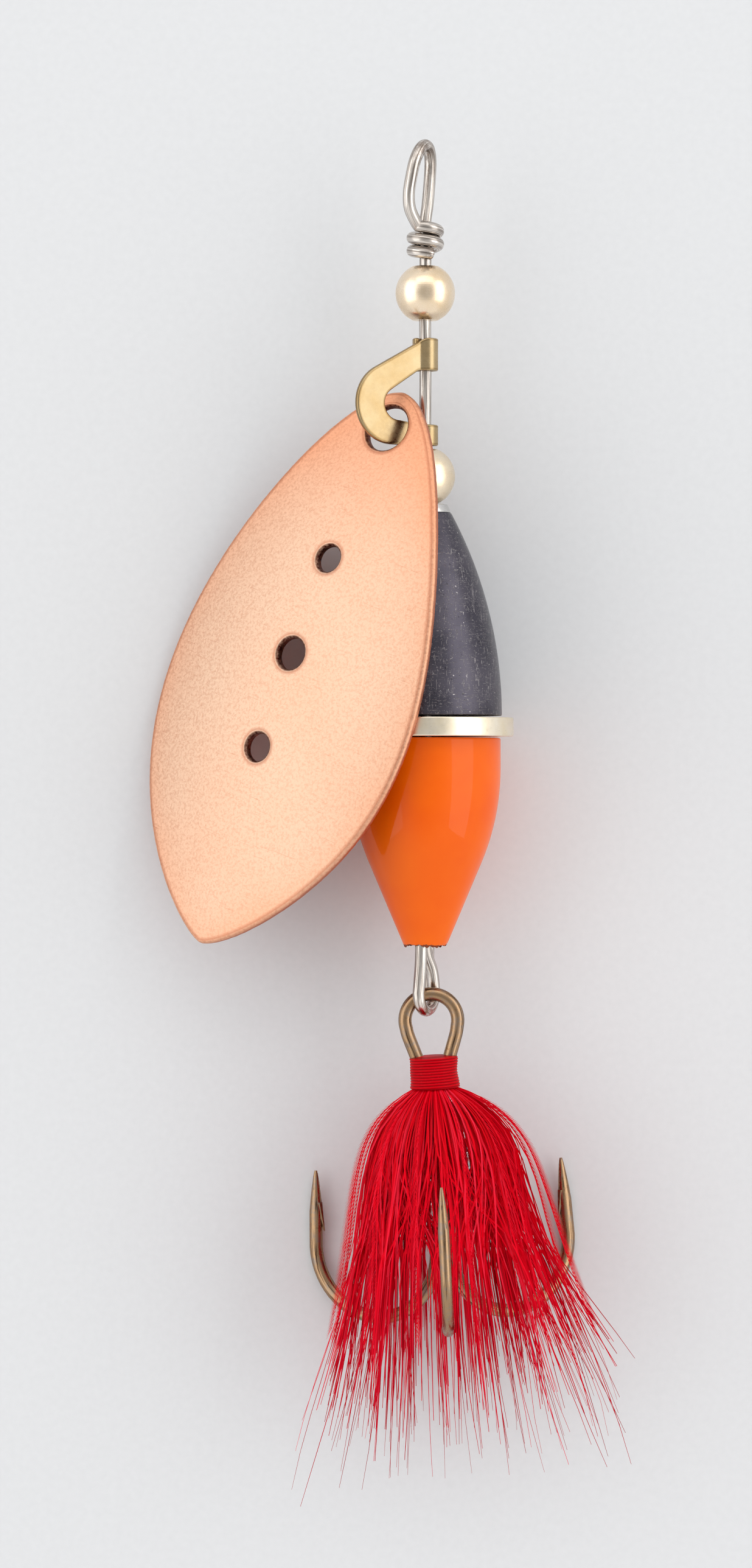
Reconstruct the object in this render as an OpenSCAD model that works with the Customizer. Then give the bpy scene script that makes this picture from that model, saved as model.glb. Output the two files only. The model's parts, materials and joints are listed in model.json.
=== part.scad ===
// In-line spinner: a wire shaft carries two beads, a clevis with a dished teardrop blade, a
// two-piece lathe-turned body and a dressed treble hook. It lies flat: the shaft runs along Y,
// the line eye is at the origin end, and the blade leans to -X.

/* [Shaft] */
// Diameter of the spring wire
wire_d = 1.0; // [0.8:0.05:1.2]
// Radial clearance of everything that turns on the wire
run_gap = 0.06; // [0.03:0.01:0.09]
// Number of full turns closing the line eye
wrap_turns = 2.1; // [1.6:0.1:2.3]

/* [Beads] */
// Diameter of both beads
bead_d = 4.9; // [4.4:0.1:5.2]
// Height of a bead between its two flats
bead_h = 4.44; // [4:0.02:4.6]

/* [Clevis] */
// Thickness of the clevis strip
clevis_t = 0.5; // [0.4:0.05:0.6]
// Angle of the clevis plane above the ground, measured about the shaft
clevis_tilt = 30; // [25:1:35]

/* [Blade] */
// Length of the blade
blade_l = 48; // [46:0.1:49]
// Width of the blade
blade_w = 25.7; // [24:0.1:26]
// Thickness of the blade
blade_t = 0.9; // [0.7:0.05:1]
// Radius of the dish across the blade
dish_across_r = 49; // [46:1:60]
// Radius of the dish along the blade
dish_along_r = 140; // [130:5:180]
// Diameter of the hole that hangs on the clevis
hang_hole_d = 3.8; // [3.7:0.1:3.9]

/* [Body] */
// Largest radius of the front body
front_r = 6.3; // [5.8:0.1:6.5]
// Largest radius of the rear body
rear_r = 6.2; // [5.8:0.1:6.4]
// Radius of the ring between the two bodies
ring_r = 7.25; // [7.2:0.01:7.3]

/* [Treble hook] */
// Diameter of the hook wire
hook_d = 1.1; // [1:0.05:1.15]
// Centre-line radius of a hook bend
bend_r = 5.75; // [5.5:0.05:5.8]
// Outer diameter of the thread wrap
wrap_d = 4.05; // [4:0.01:4.2]

/* [Hackle] */
// Length of a feather from its tie to its tip
feather_l = 33; // [28:0.5:35]
// Thickness of a feather
feather_t = 0.5; // [0.4:0.05:0.6]

/* [Hidden] */
$fn = 64;
eps = 0.01;
wire_r = wire_d / 2;
bore_r = wire_r + run_gap;

// Stations along the shaft, as Y
wrap_y = -3.55;
front_bead_y = -8.9;
rear_bead_y = -23.95;
nose_top_y = -26.25;
front_top_y = -26.9;
front_end_y = -43.6;
ring_top_y = -43.75;
ring_end_y = -45.3;
rear_top_y = -45.4;
rear_arc_y = -47.9;
rear_end_y = -62.6;

// Line eye and its closing wrap; a bent length is drawn a hair thinner so that the ends blend in
straight_y = [-61.5, -3.2];
bent_r = wire_r * 0.998;
stub_r = wire_r * 0.9;
wrap_pitch = 1.06;
wrap_r = wire_d + 0.05;
// Bottom loop that carries the hook, with the wire's tail beside the shaft and a doubled end behind
loop_turn = 26;
loop_off = 0.1;
loop_r = 1.5;
loop_low_y = -67.8;
tail_off = [-0.35, 0.95];

// Clevis outline, as [distance from the shaft, Y]; the plate stands off the shaft's axis
collar_r = bore_r + clevis_t;
plate_off = 0.2;
strip_start = -0.3;
upper_collar_y = [-15.3, -12.6];
lower_collar_y = [-21.45, -19.7];
clevis_out = [3.46, -18.1];
clevis_out_r = 3.35;
clevis_in = [2.86, -18.1];
clevis_in_r = 1.33;
neck_top = [[strip_start, -13.1], [1.06, -13.1], [5.16, -15.2], [4.46, -17.1], [1.06, -15.3],
            [strip_start, -15.3]];
window = [[-0.4, -15.3], [0.96, -15.3], [3.46, -16.92], [2.86, -19.43], [0.86, -19.7],
          [-0.4, -19.7]];

// Blade: hang_at is the centre of its hanging hole
hang_at = [-3, -20.2, 1.72];
blade_lean = 17.6;
blade_roll = 35.1;
blade_pitch = 9.5;
blade_top = 3.2;
dish_mid = 23.5;
// Deburred holes: [distance from the hanging hole, diameter]
blade_holes = [[11.6, 2.2], [19.9, 2.65], [28, 2.3]];

// Treble hook: its own frame has the eye's centre as origin and its shank along -Y
hook_at = [0.5, -68.6, 0];
hook_lean = 3;
hook_sag = 1.8;
hook_r = hook_d / 2;
eye_r = 2.17;
shank_off = 0.66;
bend_mid = shank_off + bend_r;
bend_s = 18.9;
point_s = 12.5;
wrap_s = 2.9;
wrap_h = 2.75;
sides = 10;

// Hackle: azimuths of the feathers about the shank, in the spaces between the hooks
feather_az = [for (mid = [30, 150, 270]) for (off = [-27, 0, 27]) mid + off];
feather_s = wrap_s + wrap_h;

// Sweep helpers
function lerp(a, b, t) = a + (b - a) * t;
function smooth(p, i, t) =
    let (n = len(p) - 1, a = p[max(i - 1, 0)], b = p[i], c = p[min(i + 1, n)], d = p[min(i + 2, n)])
    0.5 * (2 * b + (c - a) * t + (2 * a - 5 * b + 4 * c - d) * t * t
           + (3 * b - a - 3 * c + d) * t * t * t);
// A smooth curve through the points, with steps pieces between neighbours
function curve(p, steps) =
    concat([for (i = [0 : len(p) - 2]) for (j = [0 : steps - 1]) smooth(p, i, j / steps)],
           [p[len(p) - 1]]);
function unit(v) = v / norm(v);
function heading(p, i) = unit(p[min(i + 1, len(p) - 1)] - p[max(i - 1, 0)]);
// Carries the first ring's side vector along the path without twisting it
function carried(p, i, last) = unit(last - (last * heading(p, i)) * heading(p, i));
function frames(p, i, last) =
    i == len(p) ? [] : let (s = carried(p, i, last)) concat([s], frames(p, i + 1, s));

module sweep(path, radii, start) {
    side = frames(path, 0, start);
    rings = len(path);
    points = [for (i = [0 : rings - 1]) let (u = side[i], w = cross(heading(path, i), u))
              for (k = [0 : sides - 1]) let (a = 360 * k / sides)
              path[i] + radii[i] * (cos(a) * u + sin(a) * w)];
    walls = [for (i = [0 : rings - 2]) for (k = [0 : sides - 1])
             let (a = i * sides + k, b = i * sides + (k + 1) % sides)
             each [[a, b + sides, b], [a, a + sides, b + sides]]];
    start_cap = [for (k = [0 : sides - 1]) k];
    end_cap = [for (k = [sides - 1 : -1 : 0]) (rings - 1) * sides + k];
    polyhedron(points, concat([start_cap], walls, [end_cap]), convexity = 8);
}

// Turns a solid made about Z so that its axis lies along the shaft, +Z becoming +Y
module along_shaft(y = 0) {
    translate([0, y, 0]) rotate([-90, 0, 0]) children();
}

// Wire shaft with line eye, closing wrap and bottom loop
function wrap_point(t) =
    [-wrap_r * cos(t), wrap_y - wrap_pitch * (t - 90) / 360, wrap_r * sin(t)];
eye_path = curve([[0, -3.6, 0], [0.02, -2.9, -0.03], [0.2, -1.5, -0.3], [0.36, 0.4, -0.55],
                  [0.43, 1.9, -0.45], [0.3, 2.85, 0.15], [0.02, 3.14, 0.9], [-0.4, 2.8, 1.6],
                  [-0.85, 1.8, 2.1], [-1.15, 0.5, 2.3], [-1.36, -0.9, 2.15],
                  [-1.25, -2.2, 1.75], wrap_point(55)], 4);
wrap_path = [for (t = [70 : 15 : 90 + 360 * wrap_turns]) wrap_point(t)];
loop_dir = [-sin(loop_turn), 0, cos(loop_turn)];
function loop_point(across, y) = [loop_off, y, 0] + across * loop_dir;
loop_path = concat(
    curve([[0, -61, 0], [0, -62, 0], [0.12, -63.2, -0.3], loop_point(-1.05, -64.6),
           loop_point(-loop_r, -66.1)], 4),
    [for (t = [20 : 20 : 160])
     loop_point(-loop_r * cos(t), loop_low_y + loop_r - loop_r * sin(t))],
    curve([loop_point(loop_r, -66.1), loop_point(1.15, -64.4),
           [tail_off[0], -62.9, tail_off[1]], [tail_off[0], -60.5, tail_off[1]],
           [tail_off[0], -59, tail_off[1]]], 4));
stub_path = curve([[0.3, -60, -0.94], [0.3, -61.6, -0.94], [0.3, -62.9, -1.02], [0.3, -64.3, -1.75],
                   [0.3, -65.6, -2.2], [0.32, -67.1, -2.2]], 4);

module shaft_wire() {
    color("lightsteelblue") {
        along_shaft(straight_y[0]) cylinder(r = wire_r, h = straight_y[1] - straight_y[0]);
        sweep(concat(eye_path, wrap_path),
              [for (p = concat(eye_path, wrap_path)) bent_r], [1, 0, 0]);
        sweep(loop_path, [for (p = loop_path) bent_r], [1, 0, 0]);
        sweep(stub_path, [for (p = stub_path) stub_r], [1, 0, 0]);
    }
}

// Running bore for the shaft, longer than any part that it is cut from
module shaft_bore() {
    along_shaft(-70) cylinder(r = bore_r, h = 65);
}

// Turned bead: a ball with two flats, a running bore and a countersunk top
sink_depth = 0.25;
sink_grow = 0.3;
module bead(y) {
    color("tan") along_shaft(y) difference() {
        intersection() {
            sphere(d = bead_d);
            translate([0, 0, -bead_h / 2]) cylinder(r = bead_d, h = bead_h);
        }
        translate([0, 0, -bead_d]) cylinder(r = bore_r, h = 2 * bead_d);
        translate([0, 0, bead_h / 2 - sink_depth])
            cylinder(r1 = bore_r, r2 = bore_r + sink_grow, h = sink_depth + eps);
    }
}
module front_bead() {
    bead(front_bead_y);
}
module rear_bead() {
    bead(rear_bead_y);
}

// Stamped clevis: a flat hooked plate whose two ends are rolled round the wire
module clevis_outline() {
    difference() {
        union() {
            translate(clevis_out) circle(clevis_out_r);
            polygon(neck_top);
            translate([strip_start, lower_collar_y[0]])
                square([clevis_out[0] - strip_start, lower_collar_y[1] - lower_collar_y[0]]);
        }
        translate(clevis_in) circle(clevis_in_r);
        polygon(window);
    }
}
module clevis() {
    color("goldenrod") difference() {
        union() {
            for (ends = [upper_collar_y, lower_collar_y])
                along_shaft(ends[0]) cylinder(r = collar_r, h = ends[1] - ends[0]);
            mirror([1, 0, 0]) rotate([0, -clevis_tilt, 0]) translate([0, 0, plate_off])
                linear_extrude(clevis_t) clevis_outline();
        }
        shaft_bore();
    }
}

// Dished blade. Its own frame: origin at the hanging hole, length along -Y, convex side +Z
function half_width(s) = blade_w / 2 * pow(sin(180 * pow(s, 1.218)), 0.48 + 0.22 * s);
outline_steps = 40;
blade_side = [for (i = [0 : outline_steps])
              let (s = 0.5 - 0.5 * cos(180 * i / outline_steps))
              [half_width(s), blade_top - blade_l * s]];
blade_outline = concat(blade_side, [for (i = [outline_steps - 1 : -1 : 1])
                                    [-blade_side[i][0], blade_side[i][1]]]);
hang_drop = pow(dish_mid, 2) / (2 * dish_along_r);

dish_sweep = 24;
cutter_h = 16;
module dish_shell() {
    translate([0, -dish_mid, hang_drop - dish_along_r]) rotate([0, 90, 0])
        rotate([0, 0, 180 - dish_sweep / 2]) rotate_extrude(angle = dish_sweep)
            translate([dish_along_r - dish_across_r, 0]) intersection() {
                difference() {
                    circle(dish_across_r + blade_t / 2);
                    circle(dish_across_r - blade_t / 2);
                }
                translate([dish_across_r - cutter_h / 2, -blade_w]) square([cutter_h, 2 * blade_w]);
            }
}
module blade() {
    color("peru") translate(hang_at) blade_turn() difference() {
        intersection() {
            dish_shell();
            translate([0, 0, -cutter_h / 2]) linear_extrude(cutter_h) polygon(blade_outline);
        }
        for (hole = concat([[0, hang_hole_d]], blade_holes))
            translate([0, -hole[0], -cutter_h / 2]) cylinder(d = hole[1], h = cutter_h);
    }
}
module blade_turn() {
    rotate([0, -blade_roll, 0]) rotate([-blade_pitch, 0, 0]) rotate([0, 0, -blade_lean]) children();
}

// Silver bush with a domed flange, pressed into the nose of the front body
dome_r = 2.15;
dome_sink = 0.55;
bush_r = 1.2;
bush_len = 3.5;
module nose_bush() {
    color("silver") difference() {
        along_shaft() {
            intersection() {
                translate([0, 0, front_top_y - dome_sink]) sphere(r = dome_r);
                translate([0, 0, front_top_y]) cylinder(r = dome_r, h = nose_top_y - front_top_y);
            }
            translate([0, 0, front_top_y - bush_len]) cylinder(r = bush_r, h = bush_len + eps);
        }
        shaft_bore();
    }
}

// Front body: a blunt ogive, widest at its rear
front_len = front_top_y - front_end_y;
front_nose_r = 2.1;
ogive_r = (pow(front_len, 2) + pow(front_r - front_nose_r, 2)) / (2 * (front_r - front_nose_r));
module front_body() {
    color("dimgray") difference() {
        along_shaft() rotate_extrude() intersection() {
            translate([front_r - ogive_r, front_end_y]) circle(ogive_r, $fn = 200);
            translate([0, front_end_y]) square([front_r, front_len]);
        }
        shaft_bore();
        along_shaft(front_top_y - bush_len - 0.1) cylinder(r = bush_r + 0.02, h = bush_len + 1);
    }
}

// Flat ring between the two bodies
module mid_ring() {
    color("burlywood") difference() {
        along_shaft(ring_end_y) cylinder(r = ring_r, h = ring_top_y - ring_end_y);
        shaft_bore();
    }
}

// Rear body: a short cylinder, a round shoulder and a straight taper, counterbored at its end
shoulder_r = 20;
taper_angle = 22.9;
shoulder_path = [for (a = [0 : taper_angle / 10 : taper_angle + eps])
                 [rear_r - shoulder_r + shoulder_r * cos(a), rear_arc_y - shoulder_r * sin(a)]];
rear_tip_r = shoulder_path[10][0] - (shoulder_path[10][1] - rear_end_y) * tan(taper_angle);
edge_cut = 0.15;
counterbore_r = 1.6;
counterbore_len = 5;
module rear_body() {
    color("orangered") difference() {
        along_shaft() rotate_extrude()
            polygon(concat([[0, rear_top_y], [rear_r - edge_cut, rear_top_y],
                            [rear_r, rear_top_y - edge_cut]], shoulder_path,
                           [[rear_tip_r, rear_end_y], [0, rear_end_y]]));
        shaft_bore();
        along_shaft(rear_end_y - 1) cylinder(r = counterbore_r, h = counterbore_len + 1);
    }
}

// Treble hook. A hook lies in one plane through the shank: [distance from the axis, station]
function hook_plane(az, out, s) = [out * cos(az), -s, out * sin(az)];
function bend_points(az) = concat(
    [for (a = [0 : 10 : 180])
     hook_plane(az, bend_mid - bend_r * cos(a), bend_s + bend_r * sin(a))],
    [for (t = [0.25, 0.5, 0.7, 0.85, 1])
     hook_plane(az, bend_mid + bend_r - 0.35 * t, lerp(bend_s, point_s, t))]);
bend_radii = concat([for (a = [0 : 10 : 180]) hook_r],
                    [for (f = [1, 1, 0.95, 0.6, 0.12]) hook_r * f]);
function eye_side(sign) = concat(
    [for (a = [0 : 15 : 105]) [sign * eye_r * sin(a), eye_r * cos(a), 0]],
    curve([[sign * 1.95, -1.25, 0], [sign * 1.4, -2.9, -0.05], [sign * 0.85, -4.6, -0.2],
           [sign * shank_off * cos(30), -6.4, -shank_off * sin(30)],
           [sign * shank_off * cos(30), -12, -shank_off * sin(30)]], 3));
function eye_radii(sign) = [for (p = eye_side(sign)) hook_r];
function reversed(list) = [for (i = [len(list) - 1 : -1 : 0]) list[i]];
function tail(list) = [for (i = [1 : len(list) - 1]) list[i]];

barb_back = 2.7;
barb_in = 0.42;
barb_angle = 11;
barb_root_r = 0.4;
barb_len = 2.4;
// The free end of the barb points back down the hook, on the side towards the shank
module barb(az) {
    rotate([0, -az, 0]) translate([bend_mid + bend_r - barb_in, -point_s - barb_back, 0])
        rotate([0, 0, -barb_angle]) rotate([90, 0, 0])
            cylinder(r1 = barb_root_r, r2 = 0.05, h = barb_len, $fn = 16);
}
module hook_place() {
    translate(hook_at) rotate([hook_sag, 0, hook_lean]) children();
}
module hook_double() {
    color("darkkhaki") hook_place() {
        left = concat(eye_side(-1), bend_points(210));
        right = concat(eye_side(1), bend_points(330));
        sweep(concat(reversed(tail(left)), right),
              concat(reversed(tail(concat(eye_radii(-1), bend_radii))), eye_radii(1), bend_radii),
              [0.5, 0, 0.866]);
        barb(210);
        barb(330);
    }
}
module hook_single() {
    color("darkkhaki") hook_place() {
        shank = curve([[0, -4, shank_off], [0, -6.5, shank_off], [0, -12, shank_off]], 3);
        sweep(concat(shank, bend_points(90)),
              concat([for (p = shank) hook_r], bend_radii), [1, 0, 0]);
        barb(90);
    }
}

// Varnished thread wrap round the three shanks
wrap_round = 0.2;
wrap_swell = 0.15;
module thread_wrap() {
    color("crimson") hook_place() translate([0, -wrap_s - wrap_h, 0]) rotate([-90, 0, 0]) {
        cylinder(d1 = wrap_d + wrap_swell, d2 = wrap_d, h = wrap_h - wrap_round);
        translate([0, 0, wrap_h - wrap_round])
            cylinder(d1 = wrap_d, d2 = wrap_d - 0.5, h = wrap_round);
    }
}

// One feather: a thin tapered leaf that springs out from the tie and then trails back. The first
// upper_feathers spread freely; the others stay low and slim, clear of the ground.
root_r = 1.55;
upper_feathers = 6;
free_reach = 8;
low_reach = 3.7;
low_slim = 0.78;
function feather_out(t, reach) = root_r + reach * (1 - exp(-7 * t)) * (0.75 + 0.35 * t);
function feather_half(t) = 0.14 + 0.95 * pow(sin(180 * pow(t, 0.8)), 0.8);
feather_steps = 14;
module feather(i) {
    az = feather_az[i];
    reach = i < upper_feathers ? free_reach : low_reach;
    slim = i < upper_feathers ? 1 : low_slim;
    span = feather_l * (1 - 0.07 * (i % 3));
    points = [for (k = [0 : feather_steps])
              let (t = k / feather_steps, out = feather_out(t, reach), half = slim * feather_half(t * 0.96))
              for (c = [[-half, -1], [half, -1], [half, 1], [-half, 1]])
              [out + c[1] * feather_t / 2, -feather_s - span * t, c[0]]];
    walls = [for (k = [0 : feather_steps - 1]) for (c = [0 : 3])
             let (a = 4 * k + c, b = 4 * k + (c + 1) % 4)
             each [[a, b, b + 4], [a, b + 4, a + 4]]];
    color("firebrick") hook_place() rotate([0, -az, 0])
        polyhedron(points, concat([[3, 2, 1, 0]], walls,
                                  [[for (c = [0 : 3]) 4 * feather_steps + c]]), convexity = 4);
}
module hackle_1() {
    feather(0);
}
module hackle_2() {
    feather(1);
}
module hackle_3() {
    feather(2);
}
module hackle_4() {
    feather(3);
}
module hackle_5() {
    feather(4);
}
module hackle_6() {
    feather(5);
}
module hackle_7() {
    feather(6);
}
module hackle_8() {
    feather(7);
}
module hackle_9() {
    feather(8);
}

shaft_wire();
front_bead();
clevis();
blade();
rear_bead();
nose_bush();
front_body();
mid_ring();
rear_body();
hook_double();
hook_single();
thread_wrap();
hackle_1();
hackle_2();
hackle_3();
hackle_4();
hackle_5();
hackle_6();
hackle_7();
hackle_8();
hackle_9();
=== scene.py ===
import bpy
import json
import math
import numpy as np
from mathutils import Matrix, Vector
from mathutils.geometry import delaunay_2d_cdt


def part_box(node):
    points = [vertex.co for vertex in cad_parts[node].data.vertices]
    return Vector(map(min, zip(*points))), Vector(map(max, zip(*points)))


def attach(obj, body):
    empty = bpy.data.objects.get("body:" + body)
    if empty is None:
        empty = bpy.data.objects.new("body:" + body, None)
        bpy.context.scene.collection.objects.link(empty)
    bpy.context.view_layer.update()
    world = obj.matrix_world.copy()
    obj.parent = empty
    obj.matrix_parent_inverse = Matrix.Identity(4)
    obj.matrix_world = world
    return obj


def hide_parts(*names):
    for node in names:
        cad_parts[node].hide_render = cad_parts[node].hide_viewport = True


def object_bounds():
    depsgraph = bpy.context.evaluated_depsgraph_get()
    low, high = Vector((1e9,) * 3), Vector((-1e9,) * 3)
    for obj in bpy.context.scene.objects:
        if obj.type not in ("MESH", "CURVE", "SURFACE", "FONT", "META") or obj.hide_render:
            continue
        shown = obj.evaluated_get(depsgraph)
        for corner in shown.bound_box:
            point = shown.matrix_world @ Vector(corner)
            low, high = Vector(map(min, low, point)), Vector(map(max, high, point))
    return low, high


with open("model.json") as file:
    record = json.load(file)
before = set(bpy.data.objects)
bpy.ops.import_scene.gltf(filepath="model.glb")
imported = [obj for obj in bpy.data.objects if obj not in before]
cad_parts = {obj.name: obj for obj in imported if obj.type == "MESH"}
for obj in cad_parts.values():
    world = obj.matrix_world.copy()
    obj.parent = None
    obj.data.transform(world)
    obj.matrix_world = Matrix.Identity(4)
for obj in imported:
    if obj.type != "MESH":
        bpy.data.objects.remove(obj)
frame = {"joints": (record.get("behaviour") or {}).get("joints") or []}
cadLow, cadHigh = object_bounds()
seed = np.random.default_rng(11)
mm = 0.001
joints = {joint["name"]: joint for joint in frame["joints"]}
print("stage: frame loaded")


# small tools

def boxMm(node):  # lowest and highest corner of a node, in mm
    low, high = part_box(node)
    return np.array(low) / mm, np.array(high) / mm


def unit(v):
    v = np.asarray(v, float)
    return v / np.maximum(np.linalg.norm(v, axis=-1, keepdims=True), 1e-9)


def turnAbout(axis, degrees):
    k = unit(axis)
    a = math.radians(degrees)
    cross = np.array([[0, -k[2], k[1]], [k[2], 0, -k[0]], [-k[1], k[0], 0]])
    return np.eye(3) + math.sin(a) * cross + (1 - math.cos(a)) * cross @ cross


def onCircle(radius, degrees):  # a point on a circle about the origin
    a = math.radians(degrees)
    return np.array([radius * math.cos(a), radius * math.sin(a)])


def smoothCurve(points, steps):
    p = np.asarray(points, float)
    ends = np.vstack([p[:1], p, p[-1:]])
    t = (np.arange(steps) / steps)[:, None]
    out = []
    for i in range(len(p) - 1):
        a, b, c, d = ends[i:i + 4]
        out.append(0.5 * (2 * b + (c - a) * t + (2 * a - 5 * b + 4 * c - d) * t ** 2
                          + (3 * b - a - 3 * c + d) * t ** 3))
    return np.vstack(out + [p[-1:]])


def joinShapes(shapes):  # each shape is points, faces, flow
    points, faces, flow, start = [], [], [], 0
    for p, f, w in shapes:
        points.append(p)
        flow.append(w)
        faces += [tuple(k + start for k in face) for face in f]
        start += len(p)
    return np.vstack(points), faces, np.vstack(flow)


def tubeFaces(rows, sides):  # quads between rings of points, with both ends closed
    faces = [(i * sides + k, i * sides + (k + 1) % sides,
              (i + 1) * sides + (k + 1) % sides, (i + 1) * sides + k)
             for i in range(rows - 1) for k in range(sides)]
    return faces + [tuple(range(sides))[::-1], tuple((rows - 1) * sides + k for k in range(sides))]


def sweepTube(path, radii, sides, across=(1, 0, 0), steady=False):
    # the first ring is turned to across, and steady turns every ring to it
    # flow keeps each point's place on the straightened wire: across, across, along
    path, radii = np.asarray(path, float), np.asarray(radii, float)
    if radii.ndim == 1:
        radii = np.stack([radii, radii], 1)
    heading = unit(np.vstack([path[1:2] - path[:1], path[2:] - path[:-2], path[-1:] - path[-2:-1]]))
    along = np.concatenate([[0], np.cumsum(np.linalg.norm(np.diff(path, axis=0), axis=1))])
    angle = np.arange(sides) * 2 * math.pi / sides
    side = across = np.array(across, float)
    points, flow = [], []
    for i in range(len(path)):
        base = across if steady else side
        side = unit(base - base.dot(heading[i]) * heading[i])
        other = np.cross(heading[i], side)
        ca, sa = np.cos(angle)[:, None] * radii[i, 0], np.sin(angle)[:, None] * radii[i, 1]
        points.append(path[i] + ca * side + sa * other)
        flow.append(np.hstack([ca, sa, np.full((sides, 1), along[i])]))
    return np.vstack(points), tubeFaces(len(path), sides), np.vstack(flow)


def roundedProfile(corners, steps=5):  # corners are radius, station, fillet
    out = []
    n = len(corners)
    for i, (r, y, fillet) in enumerate(corners):
        here = np.array([r, y])
        if fillet <= 0:
            out.append(here)
            continue
        before = np.array(corners[i - 1][:2]) - here
        after = np.array(corners[(i + 1) % n][:2]) - here
        a = here + unit(before) * min(fillet, np.linalg.norm(before) / 2)
        b = here + unit(after) * min(fillet, np.linalg.norm(after) / 2)
        for t in np.linspace(0, 1, steps):
            out.append((1 - t) ** 2 * a + 2 * t * (1 - t) * here + t ** 2 * b)
    return np.array(out)


def turnProfile(profile, segments):  # a closed profile turned about the shaft
    profile = np.asarray(profile, float)
    n = len(profile)
    angle = np.arange(segments) * 2 * math.pi / segments
    r, y = profile[:, 0][None], profile[:, 1][None]
    ca, sa = np.cos(angle)[:, None], np.sin(angle)[:, None]
    points = np.stack([r * ca, y + 0 * ca, r * sa], 2).reshape(-1, 3)
    faces = [(a * n + i, ((a + 1) % segments) * n + i,
              ((a + 1) % segments) * n + (i + 1) % n, a * n + (i + 1) % n)
             for a in range(segments) for i in range(n)]
    return points, faces, points.copy()


def insideLoop(points, loop):
    x, y = points[:, 0][:, None], points[:, 1][:, None]
    a, b = loop, np.roll(loop, -1, axis=0)
    crosses = (a[:, 1] > y) != (b[:, 1] > y)
    at = a[:, 0] + (y - a[:, 1]) * (b[:, 0] - a[:, 0]) / (b[:, 1] - a[:, 1] + 1e-12)
    return (crosses & (x < at)).sum(1) % 2 == 1


def resampleLoop(loop, spacing):
    closed = np.vstack([loop, loop[:1]])
    step = np.linalg.norm(np.diff(closed, axis=0), axis=1)
    length = np.concatenate([[0], np.cumsum(step)])
    at = np.linspace(0, length[-1], max(12, int(length[-1] / spacing)), endpoint=False)
    return np.stack([np.interp(at, length, closed[:, k]) for k in (0, 1)], 1)


def sheetShape(outline, holes, half, edge, spacing, place):
    # a sheet with rounded edges: place(flat points, height) gives its points in space
    turns = np.radians([0, 25, 50, 72, 90])
    rings = [(edge * (1 - math.cos(t)), half - edge * (1 - math.sin(t))) for t in turns]
    rings += [(edge * 1.8, half), (edge * 3, half)]
    flat, height, edges, rims, wear = [], [], [], [], []
    for loop, into in [(outline, 1)] + [(hole, -1) for hole in holes]:
        tangent = unit(np.roll(loop, -1, axis=0) - np.roll(loop, 1, axis=0))
        inward = np.stack([-tangent[:, 1], tangent[:, 0]], 1)
        if insideLoop(loop[:1] + inward[:1] * 0.02, loop)[0] != (into > 0):
            inward = -inward
        for number, (inset, h) in enumerate(rings):
            start = sum(len(f) for f in flat)
            ring = loop + inward * inset
            flat.append(ring)
            height.append(np.full(len(ring), h))
            # how close each ring is to the rim, for the painted edge shade
            wear.append(np.full(len(ring), max(0, 1 - number / 5)))
            edges += [(start + i, start + (i + 1) % len(ring)) for i in range(len(ring))]
            if number == 0:
                rims.append([start + i for i in range(len(ring))])
    low, high = outline.min(0), outline.max(0)
    xs, ys = np.arange(low[0], high[0], spacing), np.arange(low[1], high[1], spacing)
    grid = np.stack(np.meshgrid(xs, ys), 2).reshape(-1, 2)
    grid[:, 0] += (np.round(grid[:, 1] / spacing).astype(int) % 2) * spacing / 2
    keep = insideLoop(grid, outline)
    for loop in [outline] + holes:
        near = np.concatenate([np.linalg.norm(part[:, None] - loop[None], axis=2).min(1)
                               for part in np.array_split(grid, 12)])
        keep &= near > rings[-1][0] + spacing * 0.45
    for hole in holes:
        keep &= ~insideLoop(grid, hole)
    flat.append(grid[keep])
    height.append(np.full(keep.sum(), half))
    wear.append(np.zeros(keep.sum()))
    flat, height, wear = np.vstack(flat), np.concatenate(height), np.concatenate(wear)
    verts, _, tris, origin, _, _ = delaunay_2d_cdt([tuple(p) for p in flat], edges, [], 0, 1e-6)
    first = [o[0] if o else -1 for o in origin]
    where = {k: n for n, o in enumerate(origin) for k in o}
    verts = np.array([tuple(v) for v in verts])
    h = np.array([height[k] if k >= 0 else half for k in first])
    w = np.array([wear[k] if k >= 0 else 0 for k in first])
    tris = np.array(tris)
    centre = verts[tris].mean(1)
    inside = insideLoop(centre, outline)
    for hole in holes:
        inside &= ~insideLoop(centre, hole)
    tris = tris[inside]
    count = len(verts)
    points = np.vstack([place(verts, h), place(verts, -h)])
    faces = [tuple(t) for t in tris] + [(t[0] + count, t[2] + count, t[1] + count) for t in tris]
    for rim in rims:
        for i, k in enumerate(rim):
            a, b = where[k], where[rim[(i + 1) % len(rim)]]
            if a != b:
                faces.append((a, b, b + count, a + count))
    flow = np.vstack([np.column_stack([verts, h]), np.column_stack([verts, -h])])
    return points, faces, flow, np.concatenate([w, w])


def addObject(name, data):
    thing = bpy.data.objects.new(name, data)
    bpy.context.scene.collection.objects.link(thing)
    return thing


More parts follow.
